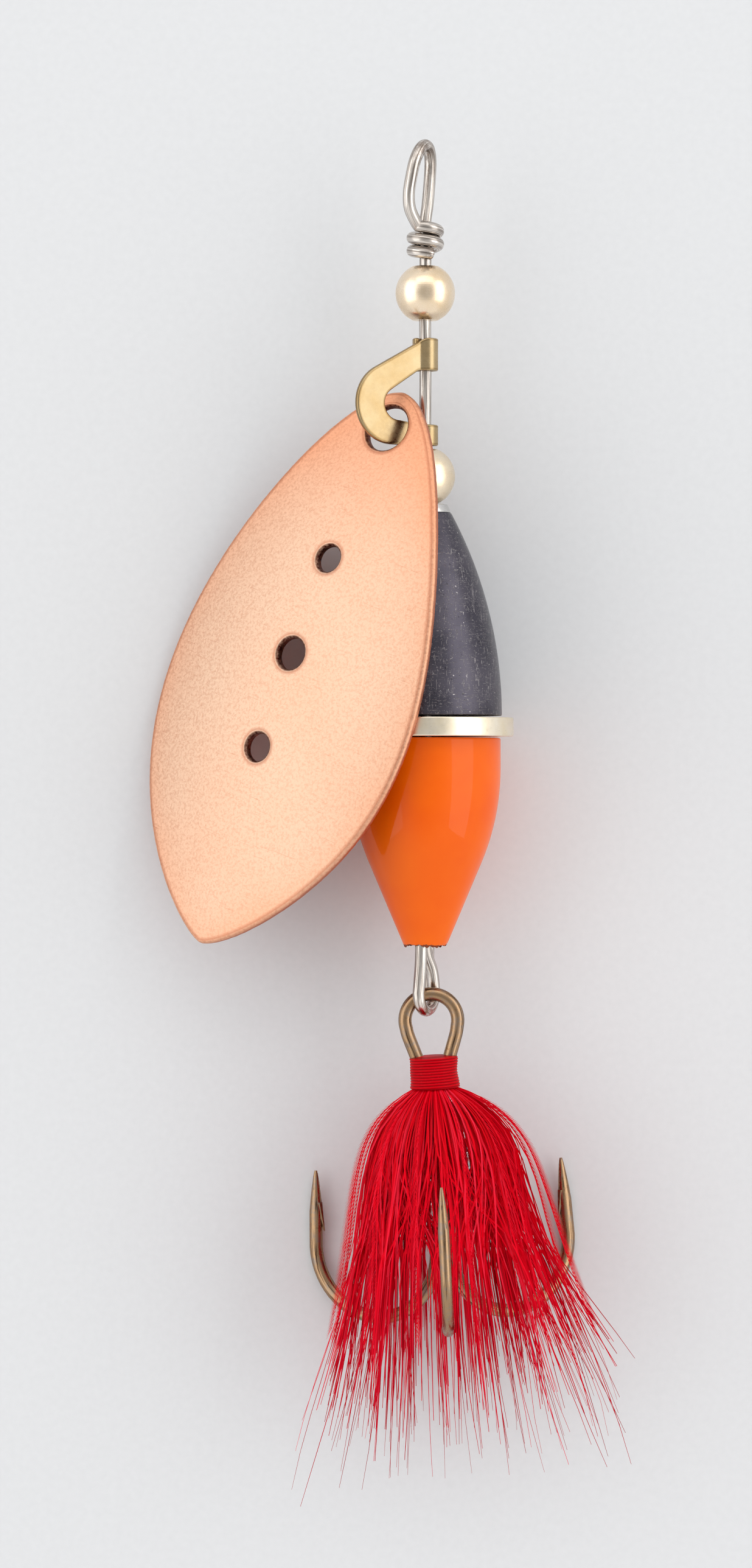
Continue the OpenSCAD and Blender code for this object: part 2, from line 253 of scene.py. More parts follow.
def makePiece(name, shape, body, material, stands=(), values=None, smoothAngle=40):
    points, faces, flow = shape[:3]
    mesh = bpy.data.meshes.new(name)
    mesh.from_pydata((np.asarray(points) * mm).tolist(), [], [tuple(map(int, f)) for f in faces])
    mesh.validate()
    layer = mesh.attributes.new("flow", "FLOAT_VECTOR", "POINT")
    layer.data.foreach_set("vector", np.asarray(flow, np.float32).ravel())
    for key, numbers in (values or {}).items():
        layer = mesh.attributes.new(key, "FLOAT", "POINT")
        layer.data.foreach_set("value", np.asarray(numbers, np.float32))
    mesh.materials.append(material)
    piece = addObject(name, mesh)
    bpy.context.view_layer.objects.active = piece
    piece.select_set(True)
    bpy.ops.object.mode_set(mode="EDIT")
    bpy.ops.mesh.select_all(action="SELECT")
    bpy.ops.mesh.normals_make_consistent(inside=False)
    bpy.ops.object.mode_set(mode="OBJECT")
    bpy.ops.object.shade_smooth_by_angle(angle=math.radians(smoothAngle))
    piece.select_set(False)
    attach(piece, body)
    if stands:
        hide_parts(*stands)


# materials

def hexLinear(code):
    channels = [int(code[i:i + 2], 16) / 255 for i in (0, 2, 4)]
    return tuple(c / 12.92 if c < 0.04045 else ((c + 0.055) / 1.055) ** 2.4 for c in channels) + (1,)


def addNode(tree, kind, settings):  # settings hold properties, socket values, links and ramp stops
    node = tree.nodes.new("ShaderNode" + kind)
    for key, value in settings.items():
        if key == "stops":
            band = node.color_ramp
            band.elements.remove(band.elements[1])
            band.elements[0].position = value[0][0]
            for number, (at, shade) in enumerate(value):
                element = band.elements.new(at) if number else band.elements[0]
                element.color = hexLinear(shade) if isinstance(shade, str) else (shade,) * 3 + (1,)
        elif isinstance(key, int) or key in node.inputs:
            if isinstance(value, bpy.types.Node):
                value = next(socket for socket in value.outputs if socket.enabled)
            if isinstance(value, bpy.types.NodeSocket):
                tree.links.new(value, node.inputs[key])
            else:
                node.inputs[key].default_value = hexLinear(value) if isinstance(value, str) else value
        else:
            setattr(node, key, value)
    return node


def startMaterial(name, *stored):  # also gives the coordinates in metres, and the mesh's stored values
    material = bpy.data.materials.new(name)
    material.use_nodes = True
    tree = material.node_tree
    tree.nodes.clear()
    place = addNode(tree, "TexCoord", {}).outputs["Object"]
    found = [addNode(tree, "Attribute", {"attribute_name": key}).outputs["Vector" if key == "flow" else "Fac"]
             for key in stored]
    return material, tree, place, *found


def finishMaterial(material, tree, look, colours, shader, relief=None, height=0):
    # colours are the ground, then each pattern, its stops and the colour it lays over the ones before
    base = look[colours[0]] if isinstance(colours[0], str) else colours[0]
    for mask, stops, shade in colours[1:]:
        if stops:
            mask = addNode(tree, "ValToRGB", {"Fac": mask, "stops": stops})
        base = addNode(tree, "Mix", {"data_type": "RGBA", 0: mask, 6: base, 7: look[shade]})
    shader["Base Color"] = base
    if isinstance(shader["Roughness"], tuple):  # a pattern, with the roughness in its dips and on its tops
        pattern, low, high = shader["Roughness"]
        shader["Roughness"] = addNode(tree, "MapRange", {"Value": pattern, "From Min": 0.3, "From Max": 0.7,
                                                         "To Min": low, "To Max": high})
    if relief is not None:  # height is in mm
        shader["Normal"] = addNode(tree, "Bump", {"Strength": 1.0, "Distance": height * mm, "Height": relief})
    surface = addNode(tree, "BsdfPrincipled", shader)
    addNode(tree, "OutputMaterial", {"Surface": surface})
    return material


def springSteelDrawn():
    # drawn spring steel wire: lengthwise die lines in a grey gleam, brown tarnish, spots of red lacquer
    look = {"steel": "e4dcd4", "line": "887e76", "tarnish": "5a3c26", "lacquer": "b83a2e",
            "lineMm": 0.11, "spotMm": 0.45}
    material, tree, place, flow, *stains = startMaterial("springSteelDrawn", "flow", "tarnish", "lacquer")
    drawn = addNode(tree, "VectorMath", {"operation": "MULTIPLY", 0: flow, 1: (1, 1, 0.03)})
    lines = addNode(tree, "TexNoise", {"Vector": drawn, "Scale": 1 / look["lineMm"], "Detail": 4})
    spots = addNode(tree, "TexNoise", {
        "Vector": place, "Scale": 1000 / look["spotMm"], "Detail": 5, "Roughness": 0.7})
    speckle = addNode(tree, "ValToRGB", {"Fac": spots, "stops": [(0.42, 0.0), (0.54, 1.0)]})
    colours = ["line", (lines, [(0.36, 0.0), (0.62, 1.0)], "steel")]
    for patch, shade in zip(stains, ("tarnish", "lacquer")):
        spotted = addNode(tree, "Math", {"operation": "MULTIPLY", 0: patch, 1: speckle})
        colours.append((spotted, None, shade))
    return finishMaterial(material, tree, look, colours, {
        "Metallic": 1.0, "Roughness": (lines, 0.32, 0.17)}, lines, 0.014)


def satinTurned(name, look):
    # turned or stamped metal left satin: fine tool rings, clouds of tarnish and tiny pits in the gleam
    material, tree, place = startMaterial(name)
    stretch = (0, 1000 / look["ringMm"], 0)
    around = addNode(tree, "VectorMath", {"operation": "MULTIPLY", 0: place, 1: stretch})
    rings = addNode(tree, "TexNoise", {"Vector": around, "Scale": 1.0, "Detail": 3})
    cloud = addNode(tree, "TexNoise", {"Vector": place, "Scale": 1000 / look["cloudMm"], "Detail": 4})
    spots = addNode(tree, "TexNoise", {
        "Vector": place, "Scale": 1000 / look["spotMm"], "Detail": 6, "Roughness": 0.75})
    pitted = [(look["pitStart"], 0.0), (look["pitStart"] + 0.05, 1.0)]
    colours = ["bright", (cloud, [(0.35, 0.0), (0.7, 1.0)], "dark"), (spots, pitted, "pit")]
    if look["rim"]:  # painted edge shade: a dark line just inside the rolled edge, and the edge itself darkened
        wear = addNode(tree, "Attribute", {"attribute_name": "wear"}).outputs["Fac"]
        colours.append((wear, [(0.0, 0.0), (0.2, 0.6), (0.45, 0.0), (1.0, 0.5)], "pit"))
    return finishMaterial(material, tree, look, colours, {
        "Metallic": 1.0, "Roughness": (spots, look["rough"] - 0.06, look["rough"] + 0.08)},
        rings, look["relief"])


def copperShotBlasted():
    # blasted copper sheet: fine sparkling grain, a warmer band by the rim and across the top end that is
    # painted reflection, raw red copper at the back
    # the grain is coarser than real, so that it shows
    look = {"mid": "e7c5aa", "warm": "ecac88", "edge": "ba7452", "rim": "b0684a", "grime": "4a1410",
            "back": "c9704e", "broadPerMm": 0.09, "grainMm": 0.24}
    material, tree, place, flow, near, wear, wall = startMaterial(
        "copperShotBlasted", "flow", "edgeNear", "wear", "holeWall")
    grain = addNode(tree, "TexNoise", {
        "Vector": place, "Scale": 1000 / look["grainMm"], "Detail": 3, "Roughness": 0.65})
    broad = addNode(tree, "TexNoise", {"Vector": flow, "Scale": look["broadPerMm"], "Detail": 2})
    drag = addNode(tree, "VectorMath", {"operation": "MULTIPLY", 0: flow, 1: (0.35, 9, 1)})
    scratch = addNode(tree, "TexNoise", {"Vector": drag, "Scale": 1.0, "Detail": 4, "Roughness": 0.7})
    patchy = addNode(tree, "ValToRGB", {"Fac": broad, "stops": [(0.30, 0.0), (0.70, 0.22)]})
    # painted reflection: the warm colour is laid within a few mm of the rim and across the top end, and also
    # in broad random patches
    patchesAndReflection = addNode(tree, "Math", {"operation": "ADD", 0: near, 1: patchy})
    height = addNode(tree, "SeparateXYZ", {0: flow}).outputs["Z"]
    behind = addNode(tree, "MapRange", {"Value": height, "From Min": 0.1, "From Max": -0.3})
    # painted shade: the walls of the holes are dark red-brown, broken up by the grain
    holeShadeBreakup = addNode(tree, "MapRange", {
        "Value": grain, "From Min": 0.35, "From Max": 0.7, "To Min": 1.0, "To Max": 0.5})
    inHole = addNode(tree, "Math", {"operation": "MULTIPLY", 0: wall, 1: holeShadeBreakup})
    colours = ["mid", (patchesAndReflection, None, "warm"), (grain, [(0.36, 0.38), (0.58, 0.0)], "edge"),
               (scratch, [(0.62, 0.0), (0.70, 0.4)], "edge"),
               # painted edge shade: a dark line where the rounded rim meets the face; the rim wall itself
               # takes the sheared edge's darker red
               (wear, [(0.0, 0.0), (0.22, 0.6), (0.45, 0.0), (0.9, 0.2), (1.0, 0.7)], "rim"),
               (behind, None, "back"), (inHole, None, "grime")]
    return finishMaterial(material, tree, look, colours, {
        "Metallic": 1.0, "Roughness": (grain, 0.42, 0.58)}, grain, 0.03)


def blackChromeTumbled():
    # dark chrome plate, tumbled: blue-charcoal gleam under a web of hair scratches and knocks
    look = {"plate": "56525b", "deep": "46434c", "scratch": "b4aeac", "dull": "2a282e",
            "cloudMm": 3.0, "knockMm": 0.3}
    material, tree, place = startMaterial("blackChromeTumbled")
    cloud = addNode(tree, "TexNoise", {"Vector": place, "Scale": 1000 / look["cloudMm"], "Detail": 5})
    web = None
    for turn, stretch in enumerate([(7, 0.5, 0.8), (0.6, 8, 0.7), (5, 5, 0.5), (3, 0.8, 9), (1.2, 6, 2)]):
        way = addNode(tree, "VectorMath", {
            "operation": "MULTIPLY", 0: place, 1: tuple(1000 * s for s in stretch)})
        lines = addNode(tree, "TexNoise", {
            "Vector": way, "Scale": 1.0 + 0.13 * turn, "Detail": 2, "Roughness": 0.5})
        thin = addNode(tree, "ValToRGB", {"Fac": lines, "stops": [(0.655, 0.0), (0.67, 0.7), (0.685, 0.0)]})
        web = addNode(tree, "Math", {"operation": "MAXIMUM", 0: web, 1: thin}) if web else thin
    knocks = addNode(tree, "TexNoise", {"Vector": place, "Scale": 1000 / look["knockMm"], "Detail": 2})
    colours = ["deep", (cloud, [(0.38, 0.0), (0.62, 1.0)], "plate"),
               (knocks, [(0.25, 0.7), (0.32, 0.0)], "dull"), (web, None, "scratch"),
               (knocks, [(0.70, 0.0), (0.73, 0.8)], "scratch")]
    return finishMaterial(material, tree, look, colours, {
        "Metallic": 0.9, "Roughness": (cloud, 0.24, 0.38)}, web, -0.008)


def enamelBaked():
    # baked orange enamel: deep even colour under a wet gloss, flaked to brown metal at the tail rim
    look = {"orange": "f16602", "deep": "ec5c00", "bare": "7b3a20", "rimMm": 0.5, "flakeMm": 0.45,
            "cloudMm": 5.0, "peelMm": 0.9}
    material, tree, place = startMaterial("enamelBaked")
    tailY = boxMm("rear_body")[0][1] * mm
    cloud = addNode(tree, "TexNoise", {"Vector": place, "Scale": 1000 / look["cloudMm"], "Detail": 3})
    height = addNode(tree, "SeparateXYZ", {0: place}).outputs["Y"]
    tail = addNode(tree, "MapRange", {"Value": height, "From Min": tailY, "To Min": 0.5, "To Max": 0.0,
                                      "From Max": tailY + look["rimMm"] * mm})
    flake = addNode(tree, "TexNoise", {
        "Vector": place, "Scale": 1000 / look["flakeMm"], "Detail": 5, "Roughness": 0.7})
    chipped = addNode(tree, "Math", {"operation": "MULTIPLY_ADD", 0: flake, 1: 0.5, 2: tail})
    chips = addNode(tree, "ValToRGB", {"Fac": chipped, "stops": [(0.52, 0.0), (0.56, 1.0)]})
    rough = addNode(tree, "MapRange", {"Value": chips, "To Min": 0.35, "To Max": 0.6})
    peel = addNode(tree, "TexNoise", {"Vector": place, "Scale": 1000 / look["peelMm"], "Detail": 3})
    colours = ["orange", (cloud, [(0.35, 0.0), (0.7, 1.0)], "deep"), (chips, None, "bare")]
    return finishMaterial(material, tree, look, colours, {
        "Roughness": rough, "IOR": 1.5, "Specular IOR Level": 0.05, "Coat Weight": 0.42,
        "Coat IOR": 1.45, "Coat Roughness": 0.03}, peel, 0.003)


def hookBronzed():
    # bronzed hook steel: khaki brown with grey-blue patina clouds and long dark draw marks
    look = {"bronze": "a48566", "patina": "828080", "dark": "3c281c", "redBrown": "6a2c1c",
            "cloudMm": 0.8}
    material, tree, place, flow = startMaterial("hookBronzed", "flow")
    drawn = addNode(tree, "VectorMath", {"operation": "MULTIPLY", 0: flow, 1: (7, 7, 0.3)})
    cloud = addNode(tree, "TexNoise", {
        "Vector": place, "Scale": 1000 / look["cloudMm"], "Detail": 5, "Roughness": 0.7})
    lines = addNode(tree, "TexNoise", {"Vector": drawn, "Scale": 1.0, "Detail": 3})
    colours = ["bronze", (cloud, [(0.50, 0.0), (0.66, 0.6)], "patina"),
               (cloud, [(0.26, 0.6), (0.38, 0.0)], "redBrown"), (lines, [(0.32, 0.9), (0.44, 0.0)], "dark")]
    return finishMaterial(material, tree, look, colours, {
        "Metallic": 1.0, "Roughness": (cloud, 0.2, 0.38)}, lines, 0.012)


def threadVarnished():
    # wound nylon thread under varnish: bright red turns that show through a wet coat, painted shade in the
    # grooves between the turns and painted glints in random flecks
    look = {"thread": "c80012", "groove": "80000a", "glint": "e62c46", "fibreMm": 0.14}
    material, tree, place, lay = startMaterial("threadVarnished", "lay")
    fibre = addNode(tree, "TexNoise", {
        "Vector": place, "Scale": 1000 / look["fibreMm"], "Detail": 3, "Roughness": 0.7})
    # the dark ground left in the grooves is painted shade; the light flecks are painted glints
    colours = ["groove", (lay, None, "thread"), (fibre, [(0.62, 0.0), (0.74, 0.5)], "glint")]
    return finishMaterial(material, tree, look, colours, {
        "Roughness": 0.4, "IOR": 1.5, "Specular IOR Level": 0.02,
        "Coat Weight": 0.06, "Coat Roughness": 0.1}, fibre, 0.012)


def hackleDyed():
    # dyed feather fibre: pure red where it is packed, a little duller where the tips thin out
    look = {"root": "dc0016", "mid": "ec0020", "tip": "ae0620", "light": "fb3856", "dark": "840010"}
    material, tree, place, flow, along, shade = startMaterial("hackleDyed", "flow", "along", "shade")
    ground = addNode(tree, "ValToRGB", {"Fac": along, "stops": [
        (0.0, look["root"]), (0.4, look["mid"]), (1.0, look["tip"])]})
    grain = addNode(tree, "TexNoise", {"Vector": flow, "Scale": 1.5, "Detail": 3})
    # fibres picked at random are painted lighter pink to stand for highlights and darker red to stand for
    # shade between fibres
    colours = [ground, (shade, [(0.75, 0.0), (1.0, 0.6)], "light"),
               (shade, [(0.0, 0.65), (0.4, 0.0)], "dark")]
    return finishMaterial(material, tree, look, colours, {
        "Roughness": 0.38, "IOR": 1.5, "Specular IOR Level": 0.05}, grain, 0.01)


def tinselPlated():
    # metallised film cut in strips: mirror silver with creases
    look = {"crease": "b9bcc4", "flat": "f4f3f2", "creaseMm": 0.5}
    material, tree, place = startMaterial("tinselPlated")
    crease = addNode(tree, "TexNoise", {"Vector": place, "Scale": 1000 / look["creaseMm"], "Detail": 3})
    ground = addNode(tree, "ValToRGB", {"Fac": crease, "stops": [
        (0.3, look["crease"]), (0.7, look["flat"])]})
    return finishMaterial(material, tree, look, [ground], {"Metallic": 1.0, "Roughness": 0.14}, crease, 0.03)


def paperMatt():
    # matt paper sweep: even, almost without gloss, with a trace of fibre
    look = {"paper": "dcdddf", "fibre": "d8d9db", "fibreMm": 0.6}
    material, tree, place = startMaterial("paperMatt")
    fibre = addNode(tree, "TexNoise", {"Vector": place, "Scale": 1000 / look["fibreMm"], "Detail": 3})
    ground = addNode(tree, "ValToRGB", {"Fac": fibre, "stops": [(0.2, look["fibre"]), (0.8, look["paper"])]})
    return finishMaterial(material, tree, look, [ground], {"Roughness": 0.85, "Specular IOR Level": 0.2})


# satin metals: what each one has of its own, over what they share
satinBase = {"ringMm": 0.16, "relief": 0.006, "spotMm": 0.5, "cloudMm": 2.6, "pitStart": 0.72, "rim": False}
satin = {"brassTurnedSatin": {"bright": "f8e8d2", "dark": "ecd3b0", "pit": "8a6238", "rough": 0.25,
                              "pitStart": 0.69},
         "brassTurnedPale": {"bright": "f1e2ca", "dark": "e6cfac", "pit": "a58b68", "rough": 0.29},
         "brassStamped": {"bright": "b8a37e", "dark": "ae9266", "pit": "755524", "rough": 0.27,
                          "ringMm": 0.5, "relief": 0.003, "spotMm": 0.4, "pitStart": 0.74, "rim": True},
         "nickelTurned": {"bright": "dcdad8", "dark": "c4c1be", "pit": "8d867f", "rough": 0.24,
                          "ringMm": 0.14, "relief": 0.010, "spotMm": 0.9, "pitStart": 0.62},
         "brassBrushed": {"bright": "f9f0e0", "dark": "eeddba", "pit": "b79a74", "rough": 0.30,
                          "ringMm": 0.10, "relief": 0.008}}
wireSteel = springSteelDrawn()
beadBrass, paleBrass, clevisBrass, bushNickel, ringBrass = [
    satinTurned(name, {**satinBase, **look}) for name, look in satin.items()]
bladeCopper = copperShotBlasted()
bodyChrome = blackChromeTumbled()
bodyEnamel = enamelBaked()
hookSteel = hookBronzed()
threadRed = threadVarnished()
hackleRed = hackleDyed()
tinselFilm = tinselPlated()
floorPaper = paperMatt()
print("stage: materials made")


# shaft wire: tail, bottom loop, straight shaft, line eye and closing wrap

wire = {"radius": 0.5, "cutEnd": 0.86, "stubSize": 0.9, "sides": 22,  # the ends are shares of the radius
        "pitch": 1.06, "coilRadius": 1.05, "coilStart": -3.55, "turns": 2.1,
        "loopTurn": 26, "loopOff": 0.1, "loopRadius": 1.5, "loopLow": -67.8,
        "eye": [[0, -3.6, 0], [0.02, -2.9, -0.03], [0.2, -1.5, -0.3], [0.36, 0.4, -0.55],
                [0.43, 1.9, -0.45], [0.3, 2.85, 0.15], [0.02, 3.14, 0.9], [-0.4, 2.8, 1.6],
                [-0.85, 1.8, 2.1], [-1.15, 0.5, 2.3], [-1.36, -0.9, 2.15], [-1.25, -2.2, 1.75]],
        "down": [[0, -61, 0], [0, -62, 0], [0.12, -63.2, -0.3]],
        "up": [[-0.35, -62.9, 0.95], [-0.35, -60.5, 0.95], [-0.35, -59, 0.95]],
        "stub": [[0.3, -60, -0.94], [0.3, -61.6, -0.94], [0.3, -62.9, -1.02],
                 [0.3, -64.3, -1.75], [0.3, -65.6, -2.2], [0.32, -67.1, -2.2]],
        # patches of stain: strength, centre, and the square of the spread on each axis
        "stains": {"tarnish": [(1.0, (-0.2, 1.9, 1.3), (1.0, 3.0, 1.6)),
                               (0.9, (0.9, -6.0, 0), (0.5, 0.3, np.inf))],
                   "lacquer": [(0.85, (0, -68.1, 0), (np.inf, 0.3, np.inf)),
                               (0.7, (-1.15, -64.4, 0), (0.06, 2.0, np.inf))]}}
loopAcross = np.array([-math.sin(math.radians(wire["loopTurn"])), 0,
                       math.cos(math.radians(wire["loopTurn"]))])


def coilPoint(degrees):
    x, z = onCircle(wire["coilRadius"], degrees)
    return [-x, wire["coilStart"] - wire["pitch"] * (degrees - 90) / 360, z]


def loopPoint(across, y):
    return list(np.array([wire["loopOff"], y, 0]) + across * loopAcross)


def buildWire():
    size, low = wire["loopRadius"], wire["loopLow"] + wire["loopRadius"]
    around = [loopPoint(*(np.array([0, low]) - onCircle(size, t))) for t in range(20, 161, 10)]
    start = smoothCurve(wire["down"] + [loopPoint(-1.05, -64.6), loopPoint(-size, low)], 8)
    back = smoothCurve([loopPoint(size, low), loopPoint(1.15, -64.4)] + wire["up"], 8)
    bottom = np.vstack([start, around, back])[::-1]
    straight = np.array([[0.012 * math.sin(y * 0.7), y, 0.01 * math.cos(y * 0.5)]  # not quite true
                         for y in np.arange(-60.3, -4.2, 0.7)])
    eye = smoothCurve(wire["eye"] + [coilPoint(55)], 9)
    coil = np.array([coilPoint(t) for t in np.arange(64, 90 + 360 * wire["turns"], 7)])
    path = np.vstack([bottom, straight, eye, coil])
    radii = np.full(len(path), wire["radius"])
    radii[0] = radii[-1] = wire["radius"] * wire["cutEnd"]
    stub = smoothCurve(wire["stub"], 8)
    stubRadii = np.full(len(stub), wire["radius"] * wire["stubSize"])
    shape = joinShapes([sweepTube(path, radii, wire["sides"]), sweepTube(stub, stubRadii, wire["sides"])])
    values = {}
    for key, patches in wire["stains"].items():
        stain = sum(strength * np.exp(-((shape[0] - centre) ** 2 / spread).sum(1))
                    for strength, centre, spread in patches)
        values[key] = np.clip(stain, 0, 1)
    makePiece("shaftWire", shape, "shaft", wireSteel, ["shaft_wire"], values)


buildWire()
print("stage: wire made")


# turned pieces on the shaft

turned = {"bore": 0.56, "segments": 144, "ringSegments": 192, "domeDrop": 0.55, "stemRadius": 1.2,
          "noseRadius": 2.1, "socket": (1.22, 3.6), "shoulder": 20, "shoulderDrop": 2.5, "taper": 22.9,
          "tailBore": (1.6, 5), "chippedMm": 0.5}


def turnPiece(name, node, body, material, corners, steps=5, segments=turned["segments"]):
    shape = turnProfile(roundedProfile(corners, steps), segments)
    makePiece(name, shape, body, material, [node])


def buildBead(name, node, material):
    low, high = boxMm(node)
    centre, half = (low[1] + high[1]) / 2, (high[1] - low[1]) / 2
    ball = (high[0] - low[0]) / 2
    flat = math.sqrt(ball ** 2 - half ** 2)
    corners = [(turned["bore"], centre - half, 0.03), (flat, centre - half, 0.03)]
    top = math.degrees(math.asin(half / ball))
    for a in np.linspace(-top + 2, top - 2, 44):
        r, y = onCircle(ball, a)
        step = 0.012 * math.sin(a * 1.9) if a < -38 else 0        # rings left near the parting-off side
        corners.append((r + step, centre + y, 0))
    corners += [(flat, centre + half, 0.06), (turned["bore"] + 0.3, centre + half, 0.04),
                (turned["bore"], centre + half - 0.25, 0.03)]
    turnPiece(name, node, node, material, corners, 4)


def buildBush():
    low, high = boxMm("nose_bush")
    dome, base, stem = (high[0] - low[0]) / 2, boxMm("front_body")[1][1], turned["stemRadius"]
    centre = base - turned["domeDrop"]
    ball = math.hypot(dome, base - centre)
    corners = [(turned["bore"], low[1], 0), (stem, low[1], 0.05), (stem, base - 0.01, 0),
               (dome, base - 0.01, 0)]
    top = math.degrees(math.asin((high[1] - centre) / ball))
    for a in np.linspace(math.degrees(math.asin(turned["domeDrop"] / ball)), top - 3, 14):
        r, y = onCircle(ball, a)
        corners.append((r, centre + y, 0))
    corners += [(onCircle(ball, top)[0], high[1], 0.12), (turned["bore"], high[1], 0.06)]
    turnPiece("noseBush", "nose_bush", "front_body", bushNickel, corners)


def buildFrontBody():
    low, high = boxMm("front_body")
    big, nose, length = (high[0] - low[0]) / 2, turned["noseRadius"], high[1] - low[1]
    socket, depth = turned["socket"]
    arc = (length ** 2 + (big - nose) ** 2) / (2 * (big - nose))
    corners = [(turned["bore"], low[1], 0), (big, low[1], 0.1)]
    for t in np.linspace(0.03, 0.985, 60):
        y = t * length
        corners.append((big - arc + math.sqrt(arc ** 2 - y ** 2), low[1] + y, 0))
    corners += [(nose, high[1], 0.16), (socket, high[1], 0.03), (socket, high[1] - depth, 0),
                (turned["bore"], high[1] - depth, 0)]
    turnPiece("frontBody", "front_body", "front_body", bodyChrome, corners)


def buildRing():
    low, high = boxMm("mid_ring")
    big = (high[0] - low[0]) / 2
    corners = [(turned["bore"], low[1], 0), (big - 0.02, low[1], 0.10)]
    for y, r in [(0.14, big), (0.5, big), (0.86, big - 0.01)]:
        corners.append((r, low[1] + y * (high[1] - low[1]), 0))
    corners += [(big - 0.02, high[1], 0.10), (turned["bore"], high[1], 0)]
    turnPiece("midRing", "mid_ring", "mid_ring", ringBrass, corners, 6, turned["ringSegments"])


def buildRearBody():
    low, high = boxMm("rear_body")
    big, shoulder, taper = (high[0] - low[0]) / 2, turned["shoulder"], turned["taper"]
    arcY = high[1] - turned["shoulderDrop"]
    corners = [(turned["bore"], high[1], 0), (big, high[1], 0.22), (big, high[1] - 1.2, 0)]
    for a in np.linspace(0, taper, 26):
        across, down = onCircle(shoulder, a)
        corners.append((big - shoulder + across, arcY - down, 0))
    r, y = corners[-1][:2]
    tip = r - (y - low[1]) * math.tan(math.radians(taper))
    for t in np.linspace(0.04, 0.97, 40):
        corners.append((r + (tip - r) * t, y + (low[1] - y) * t, 0))
    tail, depth = turned["tailBore"]
    corners += [(tip + 0.02, low[1] + 0.03, 0.06), (tail, low[1], 0.03), (tail, low[1] + depth, 0),
                (turned["bore"], low[1] + depth, 0)]
    points, faces, flow = turnProfile(roundedProfile(corners[::-1]), turned["segments"])
    angle = np.arctan2(points[:, 2], points[:, 0])
    ragged = 0.10 * np.sin(angle * 3 + 1) + 0.06 * np.sin(angle * 11) + 0.05 * np.sin(angle * 23 + 2)
    near = np.clip(1 - (points[:, 1] - low[1]) / turned["chippedMm"], 0, 1) ** 2
    points[:, 1] += near * (ragged + 0.12)                         # the flaked rim isn't quite level
    makePiece("rearBody", (points, faces, flow), "rear_body", bodyEnamel, ["rear_body"])


buildBead("frontBead", "front_bead", beadBrass)
buildBead("rearBead", "rear_bead", paleBrass)
buildBush()
buildFrontBody()
buildRing()
buildRearBody()
print("stage: turned pieces made")


# clevis: one stamped strip, its two ends rolled round the wire

clevis = {"half": 0.25, "edge": 0.144, "tilt": 30, "rollRadius": 0.81, "rollDegrees": 285,
          "plateMid": 0.45, "rampMm": 0.9, "outer": (3.46, -18.1, 3.35), "inner": (2.86, -18.1, 1.33),
          "outlineStep": 0.11, "spacing": 0.2}


def buildClevis():
    tilt = math.radians(clevis["tilt"])
    away = np.array([-math.cos(tilt), 0, math.sin(tilt)])
    up = np.array([math.sin(tilt), 0, math.cos(tilt)])
    roll, ramp, rise = clevis["rollRadius"], clevis["rampMm"], clevis["plateMid"] - clevis["rollRadius"]
    end = -roll * math.radians(clevis["rollDegrees"])
    # outline of the flat strip: round the wire and out from it, then along it
    loop = [[end, -12.6], [0.35, -12.62], [1.2, -13.1]]
    loop += [np.add(clevis["outer"][:2], onCircle(clevis["outer"][2], a)) for a in range(59, -91, -4)]
    loop += [[0, -21.45], [end, -21.4], [end, -19.75], [0, -19.72], [0.9, -19.7]]
    loop += [np.add(clevis["inner"][:2], onCircle(clevis["inner"][2], a)) for a in range(-90, 64, 6)]
    loop += [[0.96, -15.3], [0, -15.3], [end, -15.28]]
    loop = resampleLoop(np.array(loop), clevis["outlineStep"])
    for _ in range(3):
        loop = (np.roll(loop, 1, axis=0) + 2 * loop + np.roll(loop, -1, axis=0)) / 4

    def place(flat, h):
        s, y = flat[:, 0], flat[:, 1]
        t = np.clip(s / ramp, 0, 1)
        z = roll + rise * t * t * (3 - 2 * t)
        slope = rise * 6 * t * (1 - t) / ramp
        a = -s / roll
        x = np.where(s < 0, -roll * np.sin(a), s)
        z = np.where(s < 0, roll * np.cos(a), z)
        nx = np.where(s < 0, -np.sin(a), -slope)
        nz = np.where(s < 0, np.cos(a), 1.0)
        size = np.hypot(nx, nz)
        x, z = x + nx / size * h, z + nz / size * h
        return x[:, None] * away + z[:, None] * up + y[:, None] * np.array([0, 1, 0])

    *shape, wear = sheetShape(loop, [], clevis["half"], clevis["edge"], clevis["spacing"], place)
    makePiece("clevisStrip", shape, "clevis", clevisBrass, ["clevis"], {"wear": wear})


buildClevis()


# blade: dished sheet with a rounded rim and deburred holes

blade = {"length": 48, "width": 25.7, "half": 0.45, "edge": 0.3, "across": 49, "along": 140,
         "mid": 23.5, "top": 3.2, "lean": 17.6, "roll": 35.1, "pitch": 9.5,
         "holes": [(0, 3.8), (11.6, 2.2), (19.9, 2.65), (28.0, 2.3)],  # distance from the hanging hole, size
         "skew": 1.218, "blunt": (0.48, 0.22), "outlineStep": 0.3, "shearMm": 0.006, "spacing": 0.75}


